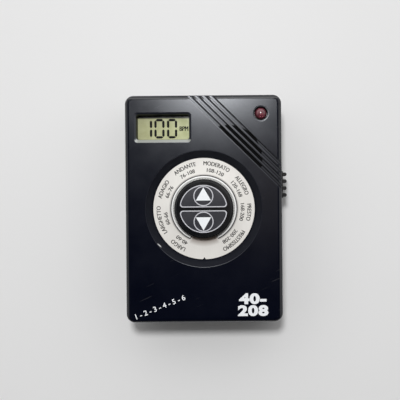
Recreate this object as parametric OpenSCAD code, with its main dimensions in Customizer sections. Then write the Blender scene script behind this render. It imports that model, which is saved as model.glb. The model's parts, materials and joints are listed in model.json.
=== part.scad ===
// Pocket quartz metronome: a flat black case with a round tempo scale, a raised knurled hub
// that holds two half-moon keys, a small liquid-crystal display, a beat lamp, a speaker behind
// diagonal louvres, a slide switch on its right edge, and a 9 V battery behind a rear door.
// X runs across the face, Y towards the display end, Z out of the face; the origin is the
// centre of the back.

/* [Case] */
// Width of the case across the face
case_w = 70; // [70:1:90]
// Height of the case from end to end
case_h = 101.5; // [100:0.5:125]
// Depth of the case from its back to its face
case_d = 25.4; // [25:0.2:32]
// Thickness of the side walls
wall = 2; // [1.7:0.1:2.4]
// Thickness of the face
face_t = 2.4; // [2.2:0.1:3]
// Thickness of the back
back_t = 2; // [1.8:0.1:2.6]
// Radius of the four corners, seen from the front
corner_r = 3.8; // [3:0.1:5]
// Rounding of the edges round the face and the back
edge_r = 2; // [0.8:0.1:2.1]
// Height of the joint between the two shells
split_z = 12.7; // [12:0.1:14]
// Width of the seam that shows between the shells
seam = 0.12; // [0.05:0.01:0.3]

/* [Dial] */
// Radius of the round recess at the face
dial_r = 26; // [24:0.5:28]
// Width of the recess's sloping wall
dial_bevel = 3.1; // [2:0.1:3.6]
// Depth of the recess
dial_depth = 3.2; // [2.8:0.1:3.6]
// Thickness of the recess floor
cup_t = 1.6; // [1.2:0.1:1.8]
// Thickness of the printed scale plate
plate_t = 0.5; // [0.3:0.1:0.8]
// Width of the bright collar round the hub
collar_w = 1.55; // [1.3:0.05:2.2]
// Height of the collar's crown above the plate
collar_rise = 0.85; // [0.4:0.05:1.2]
// Angle of the collar's opening, at the foot of the dial
collar_open = 51; // [30:1:90]
// Width of the line of shadow between the collar and the plate
collar_gap = 0.35; // [0.2:0.05:0.6]

/* [Hub and keys] */
// Radius of the knurled hub
hub_r = 13.1; // [11:0.1:16]
// Height of the hub above the face
hub_rise = 2.5; // [1:0.1:4]
// Number of ribs in the knurl
knurl_n = 120; // [60:1:160]
// Depth of the knurl
knurl_depth = 0.28; // [0.1:0.02:0.4]
// Width of the hub's top ring round the keys
key_rim = 2.5; // [2.1:0.05:3]
// Distance from the middle of the hub to the flat of each key
key_flat = 0.7; // [0.6:0.05:1]
// Radius of the keys' corners
key_corner_r = 1.3; // [0.5:0.1:1.5]
// Width of the line round each key and of the ring round its arrow
line_w = 0.42; // [0.3:0.02:0.8]
// Outer radius of the ring
ring_r = 4.4; // [3.5:0.05:4.6]
// Depth that the line, the ring and the arrow are sunk in the key
mark_depth = 0.1; // [0.05:0.01:0.2]
// Distance from the middle of the hub to the switch under each key
tact_y = 5.75; // [5:0.05:6.2]
// How far a key goes down
key_travel = 0.5; // [0.3:0.05:0.6]
// Gap round each key
key_gap = 0.15; // [0.1:0.01:0.25]

/* [Display] */
// Distance from the left side to the middle of the window
lcd_from_left = 17; // [16.4:0.1:17.1]
// Distance from the top end to the middle of the window
lcd_from_top = 14.4; // [14:0.1:15]
// Width of the window at the face
window_w = 25.5; // [22:0.1:25.8]
// Height of the window at the face
window_h = 13.6; // [12:0.1:14]
// Width of the shallow bevel round the window
window_bevel = 0.85; // [0.4:0.05:0.9]
// How much wider the bevel is along the foot of the window
window_foot = 0.45; // [0:0.05:0.5]
// How far the window narrows on each side below the bevel
window_taper = 0.35; // [0.1:0.05:0.4]
// Radius of the window's corners
window_r = 1.6; // [1:0.1:2]
// Depth of the glass below the face
glass_depth = 4.2; // [4:0.1:4.4]

/* [Lamp and louvres] */
// Distance from the right side to the middle of the lamp
led_from_right = 9.2; // [9:0.1:11]
// Distance from the top end to the middle of the lamp
led_from_top = 8.4; // [7.5:0.05:9]
// Radius of the lamp's lens
led_r = 2.6; // [2:0.1:3.2]
// Width of the gap round the lamp
led_gap = 0.5; // [0.2:0.05:0.7]
// Number of diagonal louvres
groove_n = 4; // [3:1:5]
// Width of a louvre
groove_w = 1.5; // [1:0.05:1.6]
// Distance from one louvre to the next
groove_pitch = 2.28; // [2.2:0.02:2.6]
// Depth of the louvres
groove_depth = 1.7; // [1.6:0.05:2]
// Width of the shallow shelf along the side of each louvre that is nearer the dial
shelf_w = 0.8; // [0.4:0.05:0.9]
// Depth of the shelf
shelf_depth = 0.9; // [0.4:0.05:1.2]
// Distance from the case's top right corner to the far edge of the last louvre
groove_reach = 30; // [28:0.1:32]
// Radius of the thin part of the face, where the louvres go through
grille_r = 15.4; // [12.5:0.1:15.5]
// Thickness of the face there
grille_t = 1.5; // [1.2:0.1:1.6]
// Distance from the right side to the middle of the speaker
speaker_from_right = 23.9; // [23.5:0.1:24]
// Distance from the top end to the middle of the speaker
speaker_from_top = 28.55; // [28:0.1:30]

/* [Side switch] */
// Height of the switch's middle above the middle of the case
switch_y = 10.5; // [9:0.25:12]
// How far the knob slides each way from its middle stop
switch_travel = 2; // [1:0.1:2.2]
// Number of ribs on the knob
rib_n = 4; // [3:1:5]
// Distance from one rib to the next
rib_pitch = 3.15; // [2.8:0.05:3.4]
// Thickness of a rib
rib_t = 1.7; // [1.2:0.1:2]
// How far the ribs stand out of the case
knob_reach = 2.7; // [2:0.1:4]

/* [Hidden] */
$fn = 48;

// Small clearances: a close fit, and a loose one
fit = 0.15;
slack = 0.3;

// Slopes of the shallow bevels on the face, as drop over width, and the widths of the narrow
// ones: round the recess, round the lamp's hole, and along the shelf of each louvre
window_slope = 0.214;
recess_bevel = 0.2;
recess_slope = 0.3;
lamp_bevel = 0.5;
lamp_slope = 0.07;
louvre_bevel = 0.35;
louvre_slope = 0.07;

// How far a cut runs past what it cuts, how far two parts of one solid run into each other,
// and a hair that keeps faces from lying in one plane
over = 1;
bite = 0.4;
e = 0.01;

// Levels, measured down from the face and up from the back
face_in = case_d - face_t;
dial_floor_r = dial_r - dial_bevel;
collar_r = hub_r + collar_w;
dial_floor_z = case_d - dial_depth;
cup_bottom = dial_floor_z - cup_t;
cup_r = dial_r + cup_t;
cup_bottom_r = dial_floor_r + cup_t;
plate_top = dial_floor_z + plate_t;
hub_top = case_d + hub_rise;
hub_roof_t = 1.6;
hub_roof_z = hub_top - hub_roof_t;
hub_wall = 1.6;
hub_bore_r = hub_r - hub_wall;
hub_top_r = hub_r - knurl_depth - 0.05;
hub_chamfer = 0.7;
spigot_r = hub_r - 0.7;
lug_l = 4;
collar_crown = 0.95;
collar_foot = 0.15;
collar_step = collar_rise * 0.55;
notch_w = 1.6;
notch_l = 1.1;
lug_z = cup_bottom - 0.9;
board_t = 1.6;
board_top = case_d - 8.2;
board_z = board_top - board_t;

// Lip on the rear shell that steps into the front one
lip_h = 1.4;
lip_t = 0.85;

// Places on the face
lcd_x = lcd_from_left - case_w / 2;
lcd_y = case_h / 2 - lcd_from_top;
led_x = case_w / 2 - led_from_right;
led_y = case_h / 2 - led_from_top;
speaker_x = case_w / 2 - speaker_from_right;
speaker_y = case_h / 2 - speaker_from_top;

// Keys and the tactile switches under them
key_r = hub_r - key_rim;
key_mid = (key_r + key_flat) / 2;
key_top = hub_top + 0.3;
key_flange_z = hub_roof_z - 1.1;
key_flange_t = 1;
key_flange_r = hub_bore_r - 0.2;
stem_r = 1.9;
tact_size = 4.5;
tact_h = 3.2;
plunger_r = 1.25;
plunger_top = board_top + tact_h + 1.2;
plunger_z = board_top + 1.8;

// Display stack: strips on the board, reflector, glass, frame
glass_top = case_d - glass_depth;
glass_t = 1.8;
glass_z = glass_top - glass_t;
glass_w = window_w + 0.8;
glass_h = window_h + 2;
glass_gap = 0.05;
frame_wall = 0.65;
frame_w = glass_w + 2 * (frame_wall + glass_gap);
frame_h = glass_h + 2 * (frame_wall + glass_gap);
frame_top = glass_top + 0.7;
window_rim_z = frame_top + 0.1;
strip_w = 1.6;

// Lamp
led_hole_r = led_r + led_gap;
led_flange_z = board_top + 1;
led_flange_t = 1;
led_dome_z = case_d - 1.5;
led_leg_x = 1.27;
led_leg_t = 0.5;

// Speaker
ring_t = 1.2;
speaker_r = grille_r + 0.6;
speaker_clear = 0.2;
gasket_t = 0.5;
cloth_t = 0.3;
rim_top = cup_bottom - gasket_t;
rim_t = 1;
basket_r = speaker_r - 1.8;
cone_r = basket_r - 0.9;
ledge_r = cone_r - 0.9;
magnet_r = basket_r - 5.2;
frame_hole_r = magnet_r - 3;
pole_r = 0.6 * frame_hole_r;
coil_r = pole_r + 1;
magnet_t = 3.6;
basket_z = rim_top - 4.6;
board_hole_r = basket_r;

// Battery, in the standard 9 V size, and its compartment across the foot of the case
battery_l = 46.4;
battery_w = 26.5;
battery_h = 17.5;
battery_corner_r = 1.8;
terminal_h = 2.1;
terminal_pitch = 12.7;
stud_r = 2.85;
crown_r = 4.2;
snap_t = 3.5;
battery_x0 = -(battery_l + terminal_h + snap_t + 1.5) / 2;
battery_x1 = battery_x0 + battery_l;
battery_y0 = -case_h / 2 + wall + 0.35;
battery_y1 = battery_y0 + battery_w;
battery_y = (battery_y0 + battery_y1) / 2;
battery_z0 = back_t + slack;
battery_z = battery_z0 + battery_h / 2;
bay_top = battery_y1 + 0.4;
bay_rib_t = 1.2;
bay_rib_h = 11;
pad_l = 30;
pad_w = 14;
snap_x = battery_x1 + terminal_h + 0.2;
snap_end = snap_x + snap_t;

// Rear door: a plate with a tongue along each side, in rails on the rear shell
door_w = battery_l + 9.6;
door_t = back_t - fit;
tongue = 1.4;
tongue_z = 1;
tongue_t = 0.7;
rail_h = 1.3;
rail_w = 3;
grip_w = 22;
grip_l = 9;
grip_depth = 0.6;
grip_corner_r = 2;
grip_y = battery_y - 4;
grip_bar_l = grip_w - 5;
grip_bar_t = 0.8;
grip_bar_pitch = 1.6;
arrow_w = 4.8;

// Screws and bosses
boss_inset = 5;
boss_r = 2.6;
foot_r = boss_r + 0.5;
head_r = 1.9;
head_t = 1.3;
shank_r = 1.1;
thread_gap = 0.02;
screw_len = 9;
head_z = 6;
cross_t = 0.44;
cross_depth = 0.7;
board_y0 = bay_top + bay_rib_t + 0.8;
board_y1 = case_h / 2 - wall - 1;
board_w = case_w - 2 * wall - 2;
BOSSES = [
    [-case_w / 2 + boss_inset - 0.2, lcd_y - frame_h / 2 - boss_r - 0.7],
    [case_w / 2 - boss_inset, speaker_y + 10.8],
    [-case_w / 2 + boss_inset, board_y0 + 3],
    [case_w / 2 - boss_inset, board_y0 + 3]
];
post_r = 2.1;
post_hole_r = 0.97;
board_head_r = 1.7;
board_head_t = 1;
board_screw_len = 5.4;
POSTS = [
    [-case_w / 2 + 6.2, 5],
    [case_w / 2 - 6.2, -5],
    [speaker_x - 1.1, case_h / 2 - 6.45]
];

// Parts under the board, on bent legs
leg_t = 0.4;
chip_size = 10;
chip_t = 2;
chip_pitch = 1.1;
chip_x = -9;
chip_y = -6;
crystal_r = 2;
crystal_l = 12;
crystal_w = 6.4;
crystal_x = 4.5;
crystal_y = -13;
crystal_z = board_z - crystal_r - 0.5;
capacitor_r = 2.5;
capacitor_l = 10;
capacitor_pitch = 7;
capacitor_x = 4;
capacitor_y = -2;
capacitor_z = board_z - capacitor_r - 0.5;
resistor_r = 0.9;
resistor_l = 3.6;
resistor_pitch = 2.4;
resistor_x = -24;
resistor_y = -14;
resistor_z = board_z - 1.6;
regulator_r = 2.3;
regulator_x = 20;
regulator_y = -9;

// Slide switch
switch_x1 = case_w / 2 - wall - 1.4;
switch_x0 = switch_x1 - 5.6;
switch_l = 13;
switch_h = 5.6;
switch_z = board_z - switch_h / 2 - 0.1;
stem_y = 1.9;
stem_z = 1.5;
post_y = 0.8;
post_z = 0.7;
slot_l = 2 * (stem_y + switch_travel + fit + 0.05);
knob_l = rib_pitch * (rib_n - 1) + rib_t + 1.2;
knob_h = 7;
knob_base = 0.8;

// Earphone jack
jack_y = 14;
jack_l = 12;
jack_w = 8;
jack_h = 6;
jack_z = board_z - jack_h / 2 - 0.05;
jack_nose_r = 2.9;
jack_bore_r = 1.8;
jack_bore_l = 13;
jack_x = -case_w / 2 + wall + slack;
jack_front = -case_w / 2 + 0.1;

// Wires
wire_r = 0.65;
thin_wire_r = 0.45;

// ---------- shared shapes ----------

// A rectangle with round corners, about its own middle
module rounded(w, h, r) {
    square([w - 2 * r, h], center = true);
    square([w, h - 2 * r], center = true);
    for (x = [-1, 1], y = [-1, 1])
        translate([x * (w / 2 - r), y * (h / 2 - r)]) circle(r = r);
}

// A plate of the shape given, from z0 up to z1
module slab(z0, z1) translate([0, 0, z0]) linear_extrude(z1 - z0) children();

// A box from one corner to the opposite one
module block(a, b) translate(a) cube(b - a);

// The whole case, solid, with rounded corners and edges
module case_solid() {
    hull()
        for (x = [-1, 1], y = [-1, 1], z = [edge_r, case_d - edge_r])
            translate([x * (case_w / 2 - corner_r), y * (case_h / 2 - corner_r), z])
                rotate_extrude($fn = 40) intersection() {
                    translate([corner_r - edge_r, 0]) circle(r = edge_r, $fn = 24);
                    translate([0, -edge_r]) square([corner_r, 2 * edge_r]);
                }
}

// What a shell is cut out of: the case between two levels
module case_between(z0, z1) {
    intersection() {
        case_solid();
        block([-case_w, -case_h, z0], [case_w, case_h, z1]);
    }
}

// The hollow of the case, from z0 up to z1, grown by a share of the wall
module case_hollow(z0, z1, grow = 0)
    slab(z0, z1) rounded(case_w - 2 * (wall - grow), case_h - 2 * (wall - grow), corner_r - wall + grow);

// A half-moon, flat side towards the middle of the hub, with round corners
module half_moon(r, flat, corner) {
    offset(r = corner, $fn = 32) offset(delta = -corner) intersection() {
        circle(r = r, $fn = 120);
        translate([-r, flat]) square([2 * r, r]);
    }
}

// Things at the places in a list
module at(places) for (p = places) translate([p[0], p[1], 0]) children();

// A point on the smooth curve through the points p, at t = 0 ... len(p) - 1
function spline(p, t) =
    let (i = min(floor(t), len(p) - 2), u = t - i)
    let (a = p[max(i - 1, 0)], b = p[i], c = p[i + 1], d = p[min(i + 2, len(p) - 1)])
    0.5 * (2 * b + (c - a) * u + (2 * a - 5 * b + 4 * c - d) * u * u
        + (3 * b - a - 3 * c + d) * u * u * u);

function unit(v) = v / norm(v);

// A round wire of radius r through the points p
module wire(p, r, rings = 22, sides = 8) {
    last = len(p) - 1;
    line = [for (i = [0:rings]) spline(p, last * i / rings)];
    way = [for (i = [0:rings]) unit(line[min(i + 1, rings)] - line[max(i - 1, 0)])];
    points = [for (i = [0:rings])
        let (side = unit(cross(way[i], [0.2, 0.3, 1])), up = cross(side, way[i]))
            for (k = [0:sides - 1])
                line[i] + r * (cos(360 * k / sides) * side + sin(360 * k / sides) * up)];
    walls = [for (i = [0:rings - 1], k = [0:sides - 1])
        let (a = i * sides, b = a + sides, n = (k + 1) % sides)
            each [[a + k, a + n, b + n], [a + k, b + n, b + k]]];
    ends = [[for (k = [sides - 1:-1:0]) k], [for (k = [0:sides - 1]) rings * sides + k]];
    polyhedron(points = points, faces = concat(walls, ends), convexity = 4);
}

// ---------- case ----------

// One outline drawn out along each louvre; X is measured across it, Y up from the face
module along_louvres()
    for (i = [0:groove_n - 1])
        translate([case_w / 2, case_h / 2, case_d]) rotate([90, 0, 45])
            translate([-groove_reach + i * groove_pitch, 0, -case_h]) linear_extrude(2 * case_h)
                children();

// Diagonal louvres across the top right corner of the face: each has a bevel and a shelf on
// the side nearer the dial, and in front of the speaker its whole width goes through
module louvres() {
    drop = louvre_bevel * louvre_slope;
    along_louvres()
        polygon([
            [shelf_w, -groove_depth], [groove_w, -groove_depth], [groove_w, drop],
            [-2 * louvre_bevel, drop], [0, -drop], [0, -shelf_depth], [shelf_w, -shelf_depth]
        ]);
    intersection() {
        along_louvres() translate([0, -groove_depth]) square([groove_w, groove_depth - shelf_depth / 2]);
        translate([speaker_x, speaker_y, face_in]) cylinder(r = grille_r - slack, h = face_t);
    }
}

// A slice of the window, level at z, this much narrower on each side than at the face, and
// narrower by another step along its foot
module window_slice(z, inset, foot)
    translate([lcd_x, lcd_y + foot / 2, z]) linear_extrude(e)
        rounded(window_w - 2 * inset, window_h - 2 * inset - foot, window_r - inset / 2);

// The window: a shallow bevel at the face, and a steep wall below it
module window_cut() {
    drop = window_bevel * window_slope;
    hull() {
        window_slice(case_d + drop, -window_bevel, -window_foot);
        window_slice(case_d - drop, window_bevel, window_foot);
    }
    hull() {
        window_slice(case_d - drop, window_bevel, window_foot);
        window_slice(window_rim_z - 2 * e, window_bevel + window_taper, window_foot);
    }
}

// A shallow bevel round a hole of radius r in the face
module rim(r, width, slope)
    translate([0, 0, case_d - width * slope])
        cylinder(r1 = r, r2 = r + 2 * width, h = 2 * width * slope);

module switch_slot()
    block([case_w / 2 - wall - over, switch_y - slot_l / 2, switch_z - stem_z - fit],
        [case_w / 2 + over, switch_y + slot_l / 2, switch_z + stem_z + fit]);

module jack_hole()
    translate([-case_w / 2 - over, jack_y, jack_z]) rotate([0, 90, 0])
        cylinder(r = jack_nose_r + fit, h = wall + 2 * over);

module front_shell() color("#1b1c1f") difference() {
    union() {
        difference() {
            case_between(split_z + seam / 2, case_d + over);
            case_hollow(split_z - over, face_in);
            case_hollow(split_z - over, split_z + lip_h + 0.2, grow = lip_t + fit);
        }
        translate([0, 0, cup_bottom])
            cylinder(r1 = cup_bottom_r, r2 = cup_r, h = face_in - cup_bottom + bite);
        translate([speaker_x, speaker_y, cup_bottom])
            cylinder(r = grille_r + ring_t, h = face_in - cup_bottom + bite);
        slab(window_rim_z, face_in + bite)
            translate([lcd_x, lcd_y]) rounded(window_w + 0.9, window_h + 1.2, 1);
        at(BOSSES) slab(split_z + seam / 2, face_in + bite) circle(r = boss_r);
        at(POSTS) slab(board_top, face_in + bite) circle(r = post_r);
    }
    translate([0, 0, dial_floor_z]) cylinder(r1 = dial_floor_r, r2 = dial_r, h = dial_depth);
    rim(dial_r, recess_bevel, recess_slope);
    slab(cup_bottom - over, dial_floor_z + over) circle(r = spigot_r + fit);
    difference() {
        translate([speaker_x, speaker_y, cup_bottom - over])
            cylinder(r = grille_r, h = case_d - grille_t - cup_bottom + over);
        translate([0, 0, cup_bottom - 2 * over])
            cylinder(r = cup_r - bite, h = case_d - cup_bottom + 2 * over);
    }
    louvres();
    window_cut();
    translate([led_x, led_y, face_in - over]) cylinder(r = led_hole_r, h = face_t + 2 * over);
    translate([led_x, led_y, 0]) rim(led_hole_r, lamp_bevel, lamp_slope);
    // Room for the display's frame
    slab(board_top, window_rim_z - e) translate([lcd_x, lcd_y])
        square([frame_w + 2 * fit, frame_h + 2 * fit], center = true);
    at(BOSSES) slab(split_z - over, head_z + head_t + screw_len + over) circle(r = shank_r + thread_gap);
    at(POSTS) slab(board_top - over, face_in - bite) circle(r = post_hole_r);
    switch_slot();
    jack_hole();
}

module rear_shell() color("#17181a") difference() {
    union() {
        difference() {
            case_between(-over, split_z - seam / 2);
            case_hollow(back_t, split_z + over);
        }
        difference() {
            case_hollow(split_z - 2, split_z + lip_h, grow = lip_t);
            case_hollow(split_z - 2 - over, split_z + lip_h + over);
        }
        at(BOSSES) slab(back_t - bite, split_z - seam / 2) circle(r = foot_r);
        block([-door_w / 2 - tongue, bay_top, back_t - bite],
            [battery_x1, bay_top + bay_rib_t, back_t + bay_rib_h]);
        for (x = [-1, 1])
            translate([x * (door_w / 2 + rail_w / 2), 0, 0])
                block([-rail_w / 2, -case_h / 2 + wall / 2, bite],
                    [rail_w / 2, bay_top + bite, back_t + rail_h]);
    }
    // Opening for the door, open towards the foot of the case
    block([-door_w / 2 - fit, -case_h, -over], [door_w / 2 + fit, bay_top, back_t + e]);
    // Grooves for the door's tongues
    block([-door_w / 2 - tongue - fit, -case_h, tongue_z - fit],
        [door_w / 2 + tongue + fit, bay_top, tongue_z + tongue_t + fit]);
    at(BOSSES) slab(-over, head_z + head_t) circle(r = head_r + slack);
    at(BOSSES) slab(head_z, split_z + over) circle(r = shank_r + fit);
    switch_slot();
    jack_hole();
}

module battery_door() color("#17181a") difference() {
    union() {
        intersection() {
            case_solid();
            block([-door_w / 2, -case_h, -over], [door_w / 2, bay_top - fit, door_t]);
        }
        intersection() {
            case_solid();
            block([-door_w / 2 - tongue, -case_h, tongue_z],
                [door_w / 2 + tongue, bay_top - fit, tongue_z + tongue_t]);
        }
    }
    // Thumb grip: a shallow dish with bars across it
    difference() {
        slab(-over, grip_depth) translate([0, grip_y]) rounded(grip_w, grip_l, grip_corner_r);
        for (i = [-2:2])
            translate([0, grip_y + i * grip_bar_pitch, 0])
                block([-grip_bar_l / 2, -grip_bar_t / 2, -2 * over],
                    [grip_bar_l / 2, grip_bar_t / 2, grip_depth + over]);
    }
    // Arrow that shows which way the door slides
    slab(-over, grip_depth / 2) translate([0, grip_y - grip_l + 1])
        polygon([[-arrow_w / 2, arrow_w / 3], [arrow_w / 2, arrow_w / 3], [0, -arrow_w / 2.4]]);
}

// A screw with its head down at z, a cross in the head, and its shank up
module screw(z, head, thick, shank, length) difference() {
    union() {
        slab(z, z + thick) circle(r = head);
        slab(z + thick - e, z + thick + length) circle(r = shank);
    }
    for (a = [0, 90])
        rotate([0, 0, a])
            block([-head * 0.62, -cross_t / 2, z - over], [head * 0.62, cross_t / 2, z + cross_depth]);
}

module case_screws() color("silver") at(BOSSES) screw(head_z, head_r, head_t, shank_r, screw_len);

// ---------- dial, hub and keys ----------

// A wedge that opens towards the foot of the dial, half the angle on each side
module foot_sector(r, half)
    polygon([[0, 0], [-r * sin(half), -r * cos(half)], [0, -r * 1.3], [r * sin(half), -r * cos(half)]]);

module dial_plate() color("#dcd7cd") slab(dial_floor_z, plate_top) difference() {
    circle(r = dial_floor_r - fit);
    difference() {
        circle(r = collar_r + collar_gap);
        foot_sector(dial_r, collar_open / 2 - 1);
    }
    circle(r = hub_r + fit);
    // Pointer notch at the foot
    polygon([[-notch_w / 2, -dial_floor_r], [0, notch_l - dial_floor_r], [notch_w / 2, -dial_floor_r]]);
}

// A round crown along the outside, and a lower step next to the hub
module dial_collar() color("#e6e6e4") difference() {
    translate([0, 0, dial_floor_z]) rotate_extrude() polygon(concat(
        [[hub_r + fit, 0], [collar_r, 0]],
        [for (a = [0:30:150])
            [collar_r - collar_crown * (1 - cos(a)) / 2,
                plate_t + collar_foot + (collar_rise - collar_foot) * sin(a)]],
        [[collar_r - collar_crown, plate_t + collar_step], [hub_r + fit, plate_t + collar_step]]
    ));
    slab(0, case_d * 2) foot_sector(dial_r, collar_open / 2);
}

module keypad_hub() color("#141417") difference() {
    union() {
        slab(dial_floor_z, hub_top - hub_chamfer) polygon([
            for (i = [0:2 * knurl_n - 1])
                let (r = hub_r - (i % 2) * knurl_depth, a = 180 * i / knurl_n) r * [cos(a), sin(a)]
        ]);
        translate([0, 0, hub_top - hub_chamfer])
            cylinder(r1 = hub_top_r, r2 = hub_top_r - hub_chamfer, h = hub_chamfer);
        slab(cup_bottom + 0.1, dial_floor_z + e) circle(r = spigot_r);
        // Two lugs that snap under the recess floor
        for (a = [0, 180])
            rotate([0, 0, a]) {
                block([hub_bore_r - 1, -lug_l / 2, lug_z], [spigot_r - 0.1, lug_l / 2, dial_floor_z]);
                block([hub_bore_r - 1, -lug_l / 2, lug_z], [spigot_r + 0.6, lug_l / 2, cup_bottom - 0.1]);
            }
    }
    slab(cup_bottom - 2 * over, hub_roof_z) circle(r = hub_bore_r);
    for (m = [0, 1])
        mirror([0, m, 0]) slab(hub_roof_z - over, hub_top + over)
            half_moon(key_r + key_gap, key_flat - key_gap, key_corner_r + key_gap);
}

// The line round the key's edge, and an arrow in a ring in its middle
module key_marks() {
    difference() {
        half_moon(key_r - e, key_flat + e, key_corner_r);
        half_moon(key_r - line_w, key_flat + line_w, key_corner_r - line_w / 2);
    }
    translate([0, key_mid]) difference() {
        circle(r = ring_r);
        circle(r = ring_r - line_w);
    }
    translate([0, key_mid]) rotate([0, 0, 90]) circle(r = ring_r - line_w - 0.1, $fn = 3);
}

// The upper key; the lower one is its mirror image
module key() {
    difference() {
        slab(key_flange_z, key_top) half_moon(key_r, key_flat, key_corner_r);
        slab(key_top - mark_depth, key_top + over) key_marks();
    }
    slab(key_flange_z, key_flange_z + key_flange_t) half_moon(key_flange_r, key_flat - 0.3, key_corner_r);
    translate([0, tact_y, 0]) slab(plunger_top, key_flange_z + e) circle(r = stem_r);
}

module key_up() color("#2b2c31") key();

module key_down() color("#2b2c31") mirror([0, 1, 0]) key();

module plunger(y) translate([0, y, 0]) slab(plunger_z, plunger_top) circle(r = plunger_r);

module plunger_up() color("#b9b4a8") plunger(tact_y);

module plunger_down() color("#b9b4a8") plunger(-tact_y);

module tact_switches() color("#222224") for (y = [-1, 1])
    translate([0, y * tact_y, 0]) difference() {
        slab(board_top, board_top + tact_h) square(tact_size, center = true);
        slab(plunger_z - key_travel - slack, board_top + tact_h + over) circle(r = plunger_r + 0.1);
    }

// ---------- slide switch ----------

module switch_knob() color("#161618") difference() {
    union() {
        translate([case_w / 2 + fit, switch_y - knob_l / 2, switch_z - knob_h / 2])
            cube([knob_base, knob_l, knob_h]);
        for (i = [0:rib_n - 1])
            translate([case_w / 2, switch_y + (i - (rib_n - 1) / 2) * rib_pitch, switch_z - knob_h / 2]) {
                translate([knob_reach - rib_t / 2, 0, 0]) cylinder(r = rib_t / 2, h = knob_h);
                translate([fit, 2 * e - rib_t / 2, 0])
                    cube([knob_reach - rib_t / 2 - fit, rib_t - 4 * e, knob_h]);
            }
        block([switch_x1 + 0.4, switch_y - stem_y, switch_z - stem_z],
            [case_w / 2 + fit + 0.2, switch_y + stem_y, switch_z + stem_z]);
    }
    block([switch_x1, switch_y - post_y - 0.05, switch_z - post_z - 0.05],
        [case_w / 2 - 0.3, switch_y + post_y + 0.05, switch_z + post_z + 0.05]);
}

module switch_slider() color("#e9e7e0") {
    block([switch_x0 + 2, switch_y - 2.2, switch_z - 1.2],
        [switch_x1 - 0.3, switch_y + 2.2, switch_z + 1.2]);
    block([switch_x1 - 0.4, switch_y - post_y, switch_z - post_z],
        [case_w / 2 - 0.5, switch_y + post_y, switch_z + post_z]);
}

module switch_body() color("#b7babd") difference() {
    block([switch_x0, switch_y - switch_l / 2, switch_z - switch_h / 2],
        [switch_x1, switch_y + switch_l / 2, switch_z + switch_h / 2]);
    block([switch_x0 + 1.7, switch_y - 2.2 - switch_travel - slack, switch_z - 1.2 - fit],
        [switch_x1 + 1, switch_y + 2.2 + switch_travel + slack, switch_z + 1.2 + fit]);
}

// ---------- display and lamp ----------

module lcd_glass() color("#b9bb84") slab(glass_z, glass_top)
    translate([lcd_x, lcd_y]) square([glass_w, glass_h], center = true);

module lcd_reflector() color("#8d8f80") slab(glass_z - 0.3, glass_z)
    translate([lcd_x, lcd_y]) square([glass_w, glass_h - 2 * strip_w - 1], center = true);

module zebra_strips() color("#c9787a") for (y = [-1, 1])
    slab(board_top, glass_z)
        translate([lcd_x, lcd_y + y * (glass_h - strip_w - 0.2) / 2])
            square([glass_w - 1, strip_w], center = true);

module lcd_frame() color("#3a3a3c") difference() {
    slab(board_top, frame_top) translate([lcd_x, lcd_y]) square([frame_w, frame_h], center = true);
    slab(board_top - over, glass_top + e) translate([lcd_x, lcd_y])
        square([glass_w + 2 * glass_gap, glass_h + 2 * glass_gap], center = true);
    slab(board_top, frame_top + over)
        translate([lcd_x, lcd_y]) square([window_w - 1, window_h - 1], center = true);
    slab(board_top - over, frame_top + over)
        translate([speaker_x, speaker_y]) circle(r = speaker_r + speaker_clear);
}

// A flange, a straight lens and a dome
module led_lens() color("#7c1420") translate([led_x, led_y, 0]) {
    slab(led_flange_z, led_flange_z + led_flange_t) circle(r = led_r + 0.35);
    slab(led_flange_z + led_flange_t - e, led_dome_z) circle(r = led_r);
    translate([0, 0, led_dome_z]) intersection() {
        sphere(r = led_r);
        slab(-e, led_r + over) square(4 * led_r, center = true);
    }
}

module led_leads() color("silver") for (x = [-1, 1])
    translate([led_x + x * led_leg_x, led_y, 0])
        block([-led_leg_t / 2, -led_leg_t / 2, board_z - 1.2], [led_leg_t / 2, led_leg_t / 2, led_flange_z]);

// ---------- board and its parts ----------

module boss_notch(p) {
    translate([p[0], p[1]]) circle(r = foot_r + bite);
    translate([p[0] + sign(p[0]) * boss_inset, p[1]])
        square([2 * boss_inset, 2 * (foot_r + fit)], center = true);
}

module main_board() color("#2c6b3f") slab(board_z, board_top) difference() {
    translate([0, (board_y0 + board_y1) / 2]) rounded(board_w, board_y1 - board_y0, 2);
    translate([speaker_x, speaker_y]) circle(r = board_hole_r);
    for (p = BOSSES) boss_notch(p);
    at(POSTS) circle(r = post_hole_r + slack);
    for (x = [-1, 1]) translate([led_x + x * led_leg_x, led_y]) circle(r = led_leg_t / 2 + slack);
}

module board_screws() color("silver") at(POSTS)
    screw(board_z - board_head_t, board_head_r, board_head_t, post_hole_r - thread_gap, board_screw_len);

// A bent leg: out along X from x0 to x1 at height z, then on to the board
module leg(x0, x1, y, z) {
    block([x0, y - leg_t / 2, z - leg_t / 2], [x1, y + leg_t / 2, z + leg_t / 2]);
    block([x1 - leg_t, y - leg_t / 2, z - leg_t / 2], [x1, y + leg_t / 2, board_z]);
}

// Eight legs on each side of a square body
module controller_chip() color("#1d1d1f") translate([chip_x, chip_y, 0]) {
    slab(board_z - chip_t - 0.1, board_z - 0.1) square(chip_size, center = true);
    for (a = [0:90:270], i = [-3.5:1:3.5])
        rotate([0, 0, a]) leg(chip_size / 2 - 0.3, chip_size / 2 + 0.9, i * chip_pitch, board_z - 1.1);
}

// A flat can with round sides, lying along X, with two legs
module quartz_crystal() color("#c8cacb") translate([crystal_x, crystal_y, 0]) {
    translate([-crystal_l / 2, -crystal_w / 2, crystal_z - crystal_r])
        cube([crystal_l, crystal_w, 2 * crystal_r]);
    for (y = [-1, 1])
        translate([-crystal_l / 2, y * crystal_w / 2, crystal_z])
            rotate([0, 90, 0]) cylinder(r = crystal_r, h = crystal_l);
    for (y = [-1, 1]) leg(crystal_l / 2 - 0.2, crystal_l / 2 + 2.7, y * 2.45, crystal_z);
}

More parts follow.
